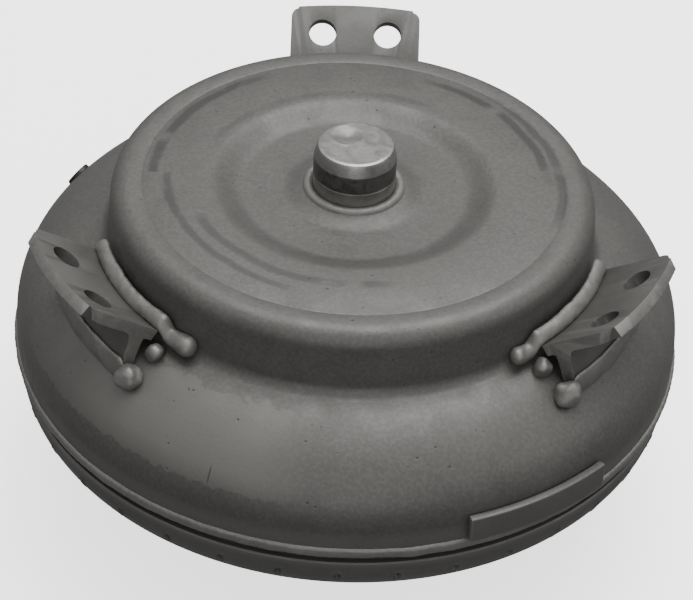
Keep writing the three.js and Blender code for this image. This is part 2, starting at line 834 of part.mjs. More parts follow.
function clutchCap(bottom) {
  const outline = washerOutline(clutch.raceOuter + runGap, clutch.camOuter, bottom, clutch.capSheet);
  return revolve(outline, sides.boss);
}
addPart("clutch_rear_cap", clutchCap(clutch.bottom - fitGap - clutch.capSheet), castAluminium);
addPart("clutch_front_cap", clutchCap(clutch.top + fitGap), castAluminium);

addPart(
  "clutch_inner_race",
  plate(
    roundOutline(() => clutch.raceOuter, sides.boss),
    [splineOutline(clutch.teeth, clutch.bore, clutch.bore - 1.3)],
    clutch.bottom - clutch.capSheet - fitGap,
    clutch.top + clutch.capSheet,
  ),
  hardSteel,
);

// ---------------------------------------------------------------------------------------------------------
// Turbine: shell, blades on their core ring, and the splined hub
// ---------------------------------------------------------------------------------------------------------

const turbineInnerEnd = 148; // degrees round the shell's section where it flattens towards the hub
const turbineShellTop = turbine.center[1] + turbine.shellHalfHeight * Math.sin(radians(turbineInnerEnd));

function onTurbineShell(inset, degrees) {
  return onEllipse(turbine.center, turbine.shellHalfWidth - inset, turbine.shellHalfHeight - inset, degrees);
}

function turbineFace(inset) {
  const inner = turbine.center[0] - turbine.shellHalfWidth + inset;
  return [
    ...[0, 28, 56, 84, 112, 140].map((degrees) => onTurbineShell(inset, degrees)),
    [inner, turbineShellTop - inset],
    [turbine.hubFlange + fitGap, turbineShellTop - inset],
  ];
}
addPart(
  "turbine_shell",
  revolve([...turbineFace(0), ...turbineFace(turbine.sheet).reverse()], sides.disc),
  bladeSteel,
);

const turbineInset = turbine.sheet + fitGap + 1;
const turbineBlades = {
  edge: [0, 45, 90, 138].map((degrees) => onTurbineShell(turbineInset, degrees)),
  ...coreFaces(midPlane.turbine, [0, 50, 105, 180]),
};
const turbineLean = (share) => 24 * Math.sin(Math.PI * share) - 10 * share;
addPart(
  "turbine_blade_ring",
  bladedRing(turbine.blades, turbineBlades, turbineLean, turbine.bladeThickness),
  bladeSteel,
);

// The hub's body, with a groove near its top for the piston's seal ring.
function turbineHubOutline() {
  const { shaftBore, hubFlange, hubRadius, hubTop, sealGroove } = turbine;
  const [flangeBottom, flangeTop] = turbine.hubFlangeHeights;
  return [
    [shaftBore, flangeBottom],
    [hubFlange, flangeBottom],
    [hubFlange, flangeTop],
    [hubRadius, flangeTop],
    [hubRadius, sealGroove.bottom],
    [hubRadius - sealGroove.depth, sealGroove.bottom],
    [hubRadius - sealGroove.depth, sealGroove.top],
    [hubRadius, sealGroove.top],
    [hubRadius, hubTop],
    [shaftBore, hubTop],
  ];
}

function turbineHub() {
  const { shaftBore, shaftTeeth, hubRadius, splineTeeth, splineRoot, splineTip } = turbine;
  const [splineBottom, splineTop] = turbine.splineHeights;
  const outerSpline = plate(
    splineOutline(splineTeeth, splineRoot, splineTip),
    [roundOutline(() => hubRadius - 2, sides.boss)],
    splineBottom,
    splineTop,
  );
  const shaftSpline = plate(
    roundOutline(() => shaftBore + 0.8, sides.boss),
    [splineOutline(shaftTeeth, shaftBore - 0.1, shaftBore - 1.1)],
    turbine.hubFlangeHeights[0] + 3,
    splineTop,
  );
  return join(revolve(turbineHubOutline(), sides.boss), outerSpline, shaftSpline);
}
addPart("turbine_hub", turbineHub(), turnedSteel);

const turbineWeldOutline = [
  [turbine.hubFlange - 1.6, turbine.hubFlangeHeights[1] + fitGap],
  [turbine.hubFlange + fitGap, turbine.hubFlangeHeights[1] + 0.1],
  [turbine.hubFlange + fitGap, turbineShellTop + fitGap],
  [turbine.hubFlange + 3.4, turbineShellTop + fitGap],
  [turbine.hubFlange + 1.4, turbine.hubFlangeHeights[1] + 1.4],
];
addPart("turbine_hub_weld", revolve(turbineWeldOutline, sides.boss), weldSteel);

const sealOutline = washerOutline(
  turbine.hubRadius - turbine.sealGroove.depth + fitGap,
  turbine.hubRadius,
  turbine.sealGroove.bottom + fitGap,
  turbine.sealGroove.top - turbine.sealGroove.bottom - 2 * fitGap,
);
addPart("piston_seal_ring", revolve(sealOutline, sides.boss), sealPlastic);

// ---------------------------------------------------------------------------------------------------------
// Lock-up clutch: piston, friction lining and the torsional damper
// ---------------------------------------------------------------------------------------------------------

const pistonFace = (inset) => [
  [piston.bore, piston.webTop - inset],
  [piston.webEdge, piston.webTop - inset],
  [piston.webEdge + 4, piston.webTop + 1.2 - inset],
  [piston.faceEdge - 3.5, piston.faceTop - 1.2 - inset],
  [piston.faceEdge, piston.faceTop - inset],
];
const pistonOutline = [
  ...pistonFace(0),
  [piston.rim - piston.rimChamfer, piston.faceTop],
  [piston.rim, piston.faceTop - piston.rimChamfer],
  [piston.rim, piston.skirtEnd],
  [piston.rim - piston.skirtSheet, piston.skirtEnd],
  [piston.rim - piston.skirtSheet, piston.faceTop - piston.sheet],
  ...pistonFace(piston.sheet).reverse(),
];
addPart("lockup_piston", revolve(pistonOutline, sides.disc), bladeSteel);

const liningOutline = washerOutline(
  piston.liningInner,
  piston.liningOuter,
  piston.faceTop + fitGap,
  piston.liningTop - piston.faceTop - fitGap,
);
addPart("friction_lining", revolve(liningOutline, sides.disc), frictionPaper);

// A spring window in plan: a rectangle square to the spoke that passes through its middle.
function springWindow(azimuth) {
  const halfWidth = damper.springRadius + 0.7;
  const halfLength = damper.springLength / 2 + 0.4;
  const [cos, sin] = polar([0, 0], 1, azimuth);
  return [[-1, -1], [1, -1], [1, 1], [-1, 1]].map(([across, along]) => {
    const [r, t] = [damper.springCircle + across * halfWidth, along * halfLength];
    return [r * cos - t * sin, r * sin + t * cos];
  });
}
const springAzimuths = Array.from({ length: damper.springs }, (_, i) => (360 * (i + 0.5)) / damper.springs);
const windows = springAzimuths.map(springWindow);

function damperHub() {
  const { height, hubDisc, hubOuter, hubBore, boss } = damper;
  const { splineTeeth, splineRoot, splineTip } = turbine;
  const spline = splineOutline(splineTeeth, splineRoot + runGap, splineTip + runGap);
  const half = hubDisc / 2;
  const disc = plate(
    roundOutline(() => hubOuter, sides.disc),
    [...windows, roundOutline(() => hubBore, sides.boss)],
    height - half,
    height + half,
  );
  const center = plate(
    roundOutline(() => boss, sides.boss),
    [spline],
    turbine.splineHeights[0] + 1,
    turbine.splineHeights[1] - 1,
  );
  return join(disc, center);
}
addPart("damper_hub", damperHub(), bladeSteel);

function sidePlate(bottom) {
  return plate(
    roundOutline(() => damper.plateOuter, sides.disc),
    [...windows, roundOutline(() => damper.plateInner, sides.boss)],
    bottom,
    bottom + damper.plate,
  );
}
const rearPlateBottom = damper.height - damper.plateGap - damper.plate;
const frontPlateBottom = damper.height + damper.plateGap;

// Rivet holes through both side plates.
const rivetAzimuths = Array.from({ length: damper.springs }, (_, i) => (360 * i) / damper.springs);
const rivetHoles = rivetAzimuths.map((azimuth) => {
  const [x, y] = polar([0, 0], damper.rivetCircle, azimuth);
  return peg(damper.rivetRadius + 0.25, 30, sides.pin).translate(x, y, damper.height);
});
addPart("damper_rear_plate", cut(sidePlate(rearPlateBottom), ...rivetHoles), bladeSteel);
addPart("damper_front_plate", cut(sidePlate(frontPlateBottom), ...rivetHoles), bladeSteel);

const rivetShank = [rearPlateBottom - 0.3, frontPlateBottom + damper.plate + 0.3];
const rivetEnds = [rivetShank[0] - damper.rivetHeadHeight, rivetShank[1] + damper.rivetHeadHeight];
const rivetOutline = [
  [0, rivetEnds[0]],
  [damper.rivetHead, rivetEnds[0]],
  [damper.rivetHead, rivetShank[0]],
  [damper.rivetRadius, rivetShank[0]],
  [damper.rivetRadius, rivetShank[1]],
  [damper.rivetHead, rivetShank[1]],
  [damper.rivetHead, rivetEnds[1]],
  [0, rivetEnds[1]],
];
rivetAzimuths.forEach((azimuth, i) => {
  const rivet = addPart(`damper_rivet_${i + 1}`, revolveSolid(rivetOutline, sides.pin), hardSteel);
  rivet.position.set(...polar([0, 0], damper.rivetCircle, azimuth), 0);
});

// A helical wire along +Y, centred on the origin.
class SpringPath extends THREE.Curve {
  getPoint(t) {
    const angle = 2 * Math.PI * damper.turns * t;
    const radius = damper.springRadius - damper.wire / 2;
    const along = (t - 0.5) * (damper.springLength - damper.wire);
    return new THREE.Vector3(radius * Math.cos(angle), along, radius * Math.sin(angle));
  }
}

function spring() {
  const corners = [0, 90, 180, 270].map((degrees) => polar([0, 0], damper.wire / 2, degrees));
  const section = new THREE.Shape(corners.map(([x, y]) => new THREE.Vector2(x, y)));
  return new THREE.ExtrudeGeometry(section, {
    extrudePath: new SpringPath(),
    steps: damper.turns * 6,
    curveSegments: 1,
  });
}
springAzimuths.forEach((azimuth, i) => {
  const coil = addPart(`damper_spring_${i + 1}`, spring(), springSteel);
  coil.position.set(...polar([0, 0], damper.springCircle, azimuth), damper.height);
  coil.rotation.z = radians(azimuth);
});

export default converter;
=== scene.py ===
"""A lock-up torque converter: the visual model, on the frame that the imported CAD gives.

Outlines are in millimetres in the (radius, height) half-plane, with heights measured from the cover's widest
plane, and azimuths are in degrees about the axis. Meshes are turned into metres in the frame when placed.
"""

import json
import math

import bmesh
import bpy
from mathutils import Matrix, Vector, noise


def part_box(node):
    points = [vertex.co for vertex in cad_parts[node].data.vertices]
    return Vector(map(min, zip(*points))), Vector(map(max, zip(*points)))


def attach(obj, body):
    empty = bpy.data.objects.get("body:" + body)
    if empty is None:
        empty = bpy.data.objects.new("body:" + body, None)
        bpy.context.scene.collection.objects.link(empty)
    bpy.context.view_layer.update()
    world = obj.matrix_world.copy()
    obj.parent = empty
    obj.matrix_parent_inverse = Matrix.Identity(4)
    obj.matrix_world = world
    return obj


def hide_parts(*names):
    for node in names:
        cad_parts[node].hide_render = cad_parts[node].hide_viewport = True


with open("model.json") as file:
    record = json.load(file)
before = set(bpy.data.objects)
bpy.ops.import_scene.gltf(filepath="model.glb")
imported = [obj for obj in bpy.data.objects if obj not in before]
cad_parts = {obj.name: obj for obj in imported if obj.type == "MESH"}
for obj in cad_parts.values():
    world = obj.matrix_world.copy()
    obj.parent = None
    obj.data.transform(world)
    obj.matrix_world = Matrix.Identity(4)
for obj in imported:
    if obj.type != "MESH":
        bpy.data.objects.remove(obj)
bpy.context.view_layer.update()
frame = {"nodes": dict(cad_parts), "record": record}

MM = 0.001
FINE = 256  # segments round a large turned or pressed part

# ---------------------------------------------------------------------------------------------------------
# Dimensions, in millimetres and degrees
# ---------------------------------------------------------------------------------------------------------

COVER = {
    "sheet": 3.6,
    "widest": 127,
    "crown_outer_radius": 24.1,
    "crown_outer_end": 40,
    "crown_inner_radius": 51.1,
    "crown_inner_end": 75,
    "waist_fillet": 5,
    "flank_top": (90.7, 51.3),
    "shoulder_fillet": 7.1,
    "dish_edge": 54.4,
    "dish_foot": 41.5,
    "dish_floor": 54,
    "boss_foot": 27,
    "boss_top": 56.3,
    "bore": 15.9,
    "skirt_end": -9.5,
    "skirt_bore": 124.75,
    "skirt_outer": 127.2,
    "skirt_step": -1.2,
}
PILOT = {"radius": 15.45, "tip": 13.7, "top": 75.1, "taper": 5.6, "bottom": 50.4, "groove": 62.8}
LUG = {
    "slope": 37.56,
    "hole_circle": 111.4,
    "hole_height": 50.7,
    "hole_half_spacing": 13.3,
    "hole_radius": 5.57,
    "sheet": 4.5,
    "half_width": 26.3,
    "inner": 97.5,
    "outer": 121.2,
    "corner": 3.4,
    "azimuths": {"rear": 90, "left": 210, "right": 330},
    "end_angle": 15.4,
}
SEAM = {"bottom": -12.4, "top": -7.7, "radius": 128.2, "start_azimuth": 280.6}
IMPELLER = {
    "sheet": 3,
    "rim_edge": -15.8,
    "rim_radius": 126.9,
    "neck_radius": 124.4,
    "neck_top": -2.2,
    "corner_radius": 14.5,
    "corner_center": (111.7, -19.7),
    "corner_end": -50.9,
    "belly_radius": 56,
    "inner_radius": 36,
    "inner_end": -140,
    "hub_fillet": 12,
    "hub_hole": 34.1,
    "dents": 37,
    "dent_start": 269.4,
    "dent_height": -23.6,
}
PUMP_HUB = {"outer": 23.8, "bore": 20.2, "flange": 33.7, "flange_bottom": -30.5, "flange_top": -21.5}
BALANCE = {"start": 290, "end": 316, "bottom": -7, "top": 3.4, "sheet": 3.2}
PLUG = {"azimuth": 152.2, "crown_angle": 33, "radius": 5.2, "proud": 1.3, "depth": 5, "socket": 2.6}

widest_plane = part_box("pilot_hub")[1][2] - PILOT["top"] * MM
hub_end = -widest_plane / MM

# ---------------------------------------------------------------------------------------------------------
# Outlines
# ---------------------------------------------------------------------------------------------------------


def polar(center, radius, degrees):
    """A point at an angle from a centre in the half-plane."""
    angle = math.radians(degrees)
    return (center[0] + radius * math.cos(angle), center[1] + radius * math.sin(angle))


def arc(center, radius, start, end, steps):
    """Points along a circular arc, both ends included."""
    return [polar(center, radius, start + (end - start) * i / steps) for i in range(steps + 1)]


def ease(share):
    """A smooth step from 0 to 1."""
    share = min(1, max(0, share))
    return share * share * (3 - 2 * share)


def s_curve(start, end, steps):
    """Points of a smooth rise between two points, level at both."""
    points = []
    for i in range(steps + 1):
        share = i / steps
        points.append((start[0] + (end[0] - start[0]) * share, start[1] + (end[1] - start[1]) * ease(share)))
    return points


crown_center = (COVER["widest"] - COVER["crown_outer_radius"], 0)
crown_join = polar(crown_center, COVER["crown_outer_radius"], COVER["crown_outer_end"])
inner_crown_center = polar(crown_join, -COVER["crown_inner_radius"], COVER["crown_outer_end"])
waist_center = polar(
    inner_crown_center, COVER["crown_inner_radius"] + COVER["waist_fillet"], COVER["crown_inner_end"]
)
shoulder_center = (COVER["flank_top"][0] - COVER["shoulder_fillet"], COVER["flank_top"][1])
shoulder_top = COVER["flank_top"][1] + COVER["shoulder_fillet"]


def crown_height(r):
    """Height of the crown's outside at a radius."""
    reach = COVER["crown_inner_radius"]
    return inner_crown_center[1] + math.sqrt(reach**2 - (r - inner_crown_center[0]) ** 2)


def cover_face(inset):
    """One face of the cover from the boss to the widest plane, `inset` below its outside."""
    floor = COVER["dish_floor"] - inset
    top = shoulder_top - inset
    return [
        (COVER["bore"], COVER["boss_top"] - inset),
        *s_curve((17.6, COVER["boss_top"] - 0.1 - inset), (COVER["boss_foot"], floor), 10),
        *s_curve((COVER["dish_foot"] + 0.3 * inset, floor), (COVER["dish_edge"] + 0.3 * inset, top), 14),
        (78.2, top),
        (78.9, top - 0.22),
        (79.6, top),
        *arc(shoulder_center, COVER["shoulder_fillet"] - inset, 90, 0, 12),
        *arc(waist_center, COVER["waist_fillet"] + inset, 180, 180 + COVER["crown_inner_end"], 10),
        *arc(
            inner_crown_center,
            COVER["crown_inner_radius"] - inset,
            COVER["crown_inner_end"],
            COVER["crown_outer_end"],
            14,
        )[1:],
        *arc(crown_center, COVER["crown_outer_radius"] - inset, COVER["crown_outer_end"], 0, 12)[1:],
    ]


cover_outline = [
    *cover_face(0),
    (COVER["skirt_outer"] - 0.1, -0.8),
    (COVER["skirt_outer"], COVER["skirt_end"]),
    (COVER["skirt_bore"], COVER["skirt_end"]),
    (COVER["skirt_bore"], COVER["skirt_step"]),
    *reversed(cover_face(COVER["sheet"])),
]

pilot_outline = [
    (0, PILOT["bottom"]),
    (PILOT["radius"], PILOT["bottom"]),
    (PILOT["radius"], PILOT["groove"] - 0.35),
    (PILOT["radius"] - 0.3, PILOT["groove"]),
    (PILOT["radius"], PILOT["groove"] + 0.35),
    *arc((PILOT["radius"] - 3, PILOT["top"] - PILOT["taper"]), 3, 0, 14, 4),
    (PILOT["tip"] + 0.7, PILOT["top"] - 1.3),
    (PILOT["tip"] + 0.25, PILOT["top"] - 0.4),
    (PILOT["tip"] - 0.5, PILOT["top"]),
    *[(r * 0.5, PILOT["top"]) for r in range(26, -1, -1)],
]

pilot_weld_outline = [
    (15.6, 55.6),
    (19.4, 55.5),
    *arc((17.2, 56.0), 1.9, 5, 150, 10),
    (15.6, 56.9),
]

neck = IMPELLER["neck_radius"]
rim_turn = polar(IMPELLER["corner_center"], IMPELLER["corner_radius"], IMPELLER["corner_end"])
belly_center = polar(rim_turn, -IMPELLER["belly_radius"], IMPELLER["corner_end"])
inner_center = (belly_center[0], belly_center[1] - IMPELLER["belly_radius"] + IMPELLER["inner_radius"])
hub_fillet_center = polar(
    inner_center, IMPELLER["inner_radius"] + IMPELLER["hub_fillet"], IMPELLER["inner_end"]
)


def impeller_face(inset, rim_steps):
    """One face of the impeller shell from its rim to the pump hub, `inset` inside its outside."""
    fillet = IMPELLER["hub_fillet"] + inset
    corner_end = IMPELLER["corner_end"]
    return [
        *arc(IMPELLER["corner_center"], IMPELLER["corner_radius"] - inset, 0, corner_end, rim_steps),
        *arc(belly_center, IMPELLER["belly_radius"] - inset, corner_end, -90, 14)[1:],
        *arc(inner_center, IMPELLER["inner_radius"] - inset, -90, IMPELLER["inner_end"], 14)[1:],
        *arc(hub_fillet_center, fillet, IMPELLER["inner_end"] + 180, 90, 8)[1:],
        (IMPELLER["hub_hole"], hub_fillet_center[1] + fillet),
    ]


impeller_outline = [
    (neck - IMPELLER["sheet"], IMPELLER["neck_top"]),
    (neck, IMPELLER["neck_top"]),
    (neck, IMPELLER["rim_edge"] + 0.3),
    (IMPELLER["rim_radius"] - 0.6, IMPELLER["rim_edge"] + 0.3),
    (IMPELLER["rim_radius"], IMPELLER["rim_edge"] - 0.2),
    *impeller_face(0, 34),
    *reversed(impeller_face(IMPELLER["sheet"], 8)),
]

pump_hub_outline = [
    (PUMP_HUB["bore"] + 0.8, hub_end),
    (PUMP_HUB["outer"] - 1.2, hub_end),
    *arc((PUMP_HUB["outer"] - 1.2, hub_end + 1.2), 1.2, -90, 0, 4),
    (PUMP_HUB["outer"], -52),
    (PUMP_HUB["outer"] - 0.25, -51.6),
    (PUMP_HUB["outer"] - 0.25, PUMP_HUB["flange_bottom"] - 2.5),
    *arc((PUMP_HUB["outer"] + 2.25, PUMP_HUB["flange_bottom"] - 2.5), 2.5, 180, 90, 6),
    (PUMP_HUB["flange"], PUMP_HUB["flange_bottom"]),
    (PUMP_HUB["flange"], PUMP_HUB["flange_top"]),
    (PUMP_HUB["bore"], PUMP_HUB["flange_top"]),
    (PUMP_HUB["bore"], hub_end + 0.8),
]

shell_underside = hub_fillet_center[1] + IMPELLER["hub_fillet"]
hub_weld_outline = [
    (PUMP_HUB["flange"] - 0.2, shell_underside + 0.3),
    *arc((PUMP_HUB["flange"] + 0.4, shell_underside - 0.4), 3.6, 5, -85, 10),
    (PUMP_HUB["flange"] - 0.2, shell_underside - 4),
]

seam_outline = [
    (COVER["skirt_bore"] + 0.1, SEAM["bottom"]),
    (126.6, SEAM["bottom"]),
    *arc((SEAM["radius"] - 1.7, SEAM["bottom"] + 1.9), 1.7, -75, 0, 6),
    (SEAM["radius"] + 0.05, -10.2),
    *arc((SEAM["radius"] - 1.3, SEAM["top"] - 1.3), 1.3, 0, 80, 6),
    (126.9, SEAM["top"] - 0.1),
    (126.9, SEAM["top"] - 1.4),
    (COVER["skirt_bore"] + 0.1, -9.4),
]

# ---------------------------------------------------------------------------------------------------------
# Meshes
# ---------------------------------------------------------------------------------------------------------


def spread(r, azimuth, z):
    """Cylindrical coordinates, azimuth in degrees, to x, y, z in millimetres."""
    angle = math.radians(azimuth)
    return Vector((r * math.cos(angle), r * math.sin(angle), z))


def linked(name, mesh):
    obj = bpy.data.objects.new(name, mesh)
    bpy.context.scene.collection.objects.link(obj)
    return obj


def closed_mesh(name, points, faces):
    """A mesh in millimetres with merged points and outward normals."""
    mesh = bpy.data.meshes.new(name)
    mesh.from_pydata(points, [], faces)
    bm = bmesh.new()
    bm.from_mesh(mesh)
    bmesh.ops.remove_doubles(bm, verts=bm.verts, dist=1e-4)
    bmesh.ops.recalc_face_normals(bm, faces=bm.faces)
    bm.to_mesh(mesh)
    bm.free()
    return mesh


def place(obj, azimuth=0, sharp=32):
    """Turns a mesh made in millimetres along +X into metres in the frame, at an azimuth, smooth-shaded."""
    to_frame = Matrix.Translation((0, 0, widest_plane)) @ Matrix.Scale(MM, 4)
    obj.data.transform(to_frame @ Matrix.Rotation(math.radians(azimuth), 4, "Z"))
    obj.data.shade_smooth()
    obj.data.set_sharp_from_angle(angle=math.radians(sharp))
    return obj


def revolve(name, outline, segments, shift=None):
    """A closed outline swept round the axis; shift(r, azimuth, z) may move each point in its half-plane."""
    points = []
    for i in range(segments):
        azimuth = 360 * i / segments
        for r, z in outline:
            if shift:
                r, z = shift(r, azimuth, z)
            points.append(spread(r, azimuth, z))
    count = len(outline)
    faces = []
    for i in range(segments):
        here = i * count
        there = (i + 1) % segments * count
        for k in range(count):
            following = (k + 1) % count
            faces.append((here + k, here + following, there + following, there + k))
    return linked(name, closed_mesh(name, points, faces))


def skin(steps, count):
    """The faces between loops of `count` points each, one step after another."""
    faces = []
    for i in range(steps):
        here = i * count
        there = here + count
        for k in range(count):
            following = (k + 1) % count
            faces.append((here + k, here + following, there + following, there + k))
    return faces


def sector(name, outline, start, end, steps):
    """A closed outline swept part of the way round the axis, with flat ends."""
    points = []
    for i in range(steps + 1):
        points += [spread(r, start + (end - start) * i / steps, z) for r, z in outline]
    count = len(outline)
    faces = [tuple(range(count)), tuple(range(steps * count, (steps + 1) * count))]
    faces += skin(steps, count)
    return linked(name, closed_mesh(name, points, faces))


def prism(name, outline, bottom, top):
    """A closed outline in plan, standing between two heights."""
    count = len(outline)
    points = [(x, y, z) for z in (bottom, top) for x, y in outline]
    faces = [tuple(range(count)), tuple(range(count, 2 * count))]
    faces += [(k, (k + 1) % count, count + (k + 1) % count, count + k) for k in range(count)]
    return linked(name, closed_mesh(name, points, faces))


def applied(obj):
    """Bakes an object's modifiers into its mesh."""
    depsgraph = bpy.context.evaluated_depsgraph_get()
    mesh = bpy.data.meshes.new_from_object(obj.evaluated_get(depsgraph))
    obj.modifiers.clear()
    obj.data = mesh
    return obj


def carve(obj, tool, operation="DIFFERENCE"):
    """Cuts one solid with another, which is used up."""
    modifier = obj.modifiers.new("carve", "BOOLEAN")
    modifier.operation = operation
    modifier.solver = "EXACT"
    modifier.object = tool
    applied(obj)
    bpy.data.objects.remove(tool)
    return obj


def soften(obj, width, segments=2):
    """Rounds the sharp edges of a solid."""
    modifier = obj.modifiers.new("soften", "BEVEL")
    modifier.width = width
    modifier.segments = segments
    modifier.limit_method = "ANGLE"
    modifier.angle_limit = math.radians(38)
    return applied(obj)


def rough(point, size):
    """Smooth noise from -1 to 1 at a point in millimetres, with features of that size."""
    return noise.noise(Vector(point) / size)


BEAD = {
    "points_around": 22,
    "step": 0.55,
    "cap": 3.2,
    "ripple_length": 1.9,
    "ripple": 0.005,
    "bulges": ((0.5, 8), (0.2, 2.4)),  # height and size of the lumps
}


def bead(name, center_at, size_at, tilt, start, end):
    """A weld bead swept along azimuths, rippled, rough and closed by rounded ends.

    center_at(azimuth) gives its middle, size_at(azimuth) its half length and half thickness, and tilt turns
    the half length up from the radial direction.
    """
    around = BEAD["points_around"]
    length = math.radians(abs(end - start)) * center_at(start)[0]
    steps = max(24, int(length / BEAD["step"]))
    cap = BEAD["cap"] / length
    lean = math.radians(tilt)
    points = []
    for i in range(steps + 1):
        share = i / steps
        azimuth = start + (end - start) * share
        r, z = center_at(azimuth)
        half_long, half_thick = size_at(azimuth)
        from_end = min(share, 1 - share)
        close = math.sqrt(max(0, 1 - max(0, 1 - from_end / cap) ** 2))
        turns = share * length / BEAD["ripple_length"]
        for k in range(around):
            angle = 2 * math.pi * k / around
            wave = math.cos(2 * math.pi * (turns + 0.22 * math.cos(angle)))
            size = close * (1 + BEAD["ripple"] * wave)
            u = half_long * size * math.cos(angle)
            v = half_thick * size * math.sin(angle)
            out = u * math.cos(lean) - v * math.sin(lean)
            rise = u * math.sin(lean) + v * math.cos(lean)
            point = spread(r + out, azimuth, z + rise)
            bulge = sum(height * rough(point, width) for height, width in BEAD["bulges"])
            outward = spread(math.cos(angle + lean), azimuth, math.sin(angle + lean))
            points.append(point + close * bulge * outward)
    return closed_mesh(name, points, skin(steps, around))


def blob(name, r, azimuth, z, half_sizes, seed):
    """A rounded lump of weld: half sizes are radial, along the bead and up."""
    bm = bmesh.new()
    bmesh.ops.create_icosphere(bm, subdivisions=4, radius=1)
    turn = Matrix.Rotation(math.radians(azimuth), 3, "Z")
    middle = spread(r, azimuth, z)
    for vertex in bm.verts:
        way = Vector(vertex.co)
        lumpy = 1 + 0.26 * rough(way + Vector((seed, 0, 0)), 1.0) + 0.03 * rough(way * 3, 0.8)
        vertex.co = middle + turn @ Vector([way[k] * half_sizes[k] * lumpy for k in range(3)])
    mesh = bpy.data.meshes.new(name)
    bm.to_mesh(mesh)
    bm.free()
    return mesh


def merged(name, meshes):
    """One object from several closed meshes that run into each other, as one run of weld does."""
    bm = bmesh.new()
    for mesh in meshes:
        bm.from_mesh(mesh)
    mesh = bpy.data.meshes.new(name)
    bm.to_mesh(mesh)
    bm.free()
    return linked(name, mesh)


# ---------------------------------------------------------------------------------------------------------
# Materials
# ---------------------------------------------------------------------------------------------------------


class Graph:
    """A short way to write a material's nodes."""

    def __init__(self, name):
        self.material = bpy.data.materials.new(name)
        self.material.use_nodes = True
        self.tree = self.material.node_tree
        self.shader = self.tree.nodes["Principled BSDF"]

    def node(self, kind, **settings):
        made = self.tree.nodes.new(kind)
        for name, value in settings.items():
            setattr(made, name, value)
        return made

    def put(self, socket, value):
        if isinstance(value, bpy.types.NodeSocket):
            self.tree.links.new(value, socket)
        else:
            socket.default_value = value

    def math(self, operation, *values):
        made = self.node("ShaderNodeMath", operation=operation)
        for socket, value in zip(made.inputs, values):
            self.put(socket, value)
        return made.outputs[0]

    def span(self, value, low, high, to_low=0.0, to_high=1.0):
        """The value, eased from one range to another."""
        made = self.node("ShaderNodeMapRange", interpolation_type="SMOOTHSTEP")
        for socket, number in zip(made.inputs, (value, low, high, to_low, to_high)):
            self.put(socket, number)
        return made.outputs[0]

    def position(self):
        return self.node("ShaderNodeTexCoord").outputs["Object"]

    def noise(self, size, detail=3.0, distortion=0.0):
        """Noise with features of that size, in millimetres."""
        made = self.node("ShaderNodeTexNoise")
        self.put(made.inputs["Vector"], self.position())
        self.put(made.inputs["Scale"], 1 / (size * MM))
        self.put(made.inputs["Detail"], detail)
        self.put(made.inputs["Distortion"], distortion)
        return made.outputs["Fac"]

    def spots(self, size):
        """Distance from the middles of scattered cells of that size, in millimetres."""
        made = self.node("ShaderNodeTexVoronoi")
        self.put(made.inputs["Vector"], self.position())
        self.put(made.inputs["Scale"], 1 / (size * MM))
        return made.outputs["Distance"]

    def blend(self, share, first, second):
        made = self.node("ShaderNodeMix", data_type="RGBA")
        self.put(made.inputs[0], share)
        self.put(made.inputs[6], first)
        self.put(made.inputs[7], second)
        return made.outputs[2]

    def cylindrical(self):
        """Radius, azimuth in degrees from -180 to 180, and height above the widest plane, in millimetres."""
        parts = self.node("ShaderNodeSeparateXYZ")
        self.put(parts.inputs[0], self.position())
        x, y, z = parts.outputs
        squares = self.math("ADD", self.math("MULTIPLY", x, x), self.math("MULTIPLY", y, y))
        radius = self.math("SQRT", squares)
        azimuth = self.math("DEGREES", self.math("ARCTAN2", y, x))
        height = self.math("SUBTRACT", z, widest_plane)
        return self.math("MULTIPLY", radius, 1 / MM), azimuth, self.math("MULTIPLY", height, 1 / MM)

    def window(self, value, low, high, edge):
        """1 between two values, fading over `edge` outside them."""
        rising = self.span(value, low - edge, low)
        falling = self.span(value, high, high + edge, 1.0, 0.0)
        return self.math("MULTIPLY", rising, falling)

    def bump(self, height, distance, normal=None):
        """A bump whose full height is `distance` millimetres."""
        made = self.node("ShaderNodeBump")
        self.put(made.inputs["Strength"], 1.0)
        self.put(made.inputs["Distance"], distance * MM)
        self.put(made.inputs["Height"], height)
        if normal:
            self.put(made.inputs["Normal"], normal)
        return made.outputs["Normal"]

    def edges(self):
        """1 on outer edges, from the mesh's curvature."""
        return self.span(self.node("ShaderNodeNewGeometry").outputs["Pointiness"], 0.515, 0.56)

    def finish(self, color, roughness, normal, metallic):
        self.put(self.shader.inputs["Base Color"], color)
        self.put(self.shader.inputs["Roughness"], roughness)
        self.put(self.shader.inputs["Normal"], normal)
        self.put(self.shader.inputs["Metallic"], metallic)
        return self.material


def shade(color, factor):
    """A colour made lighter or darker, as a node's four numbers."""
    return (*[min(1, channel * factor) for channel in color], 1)


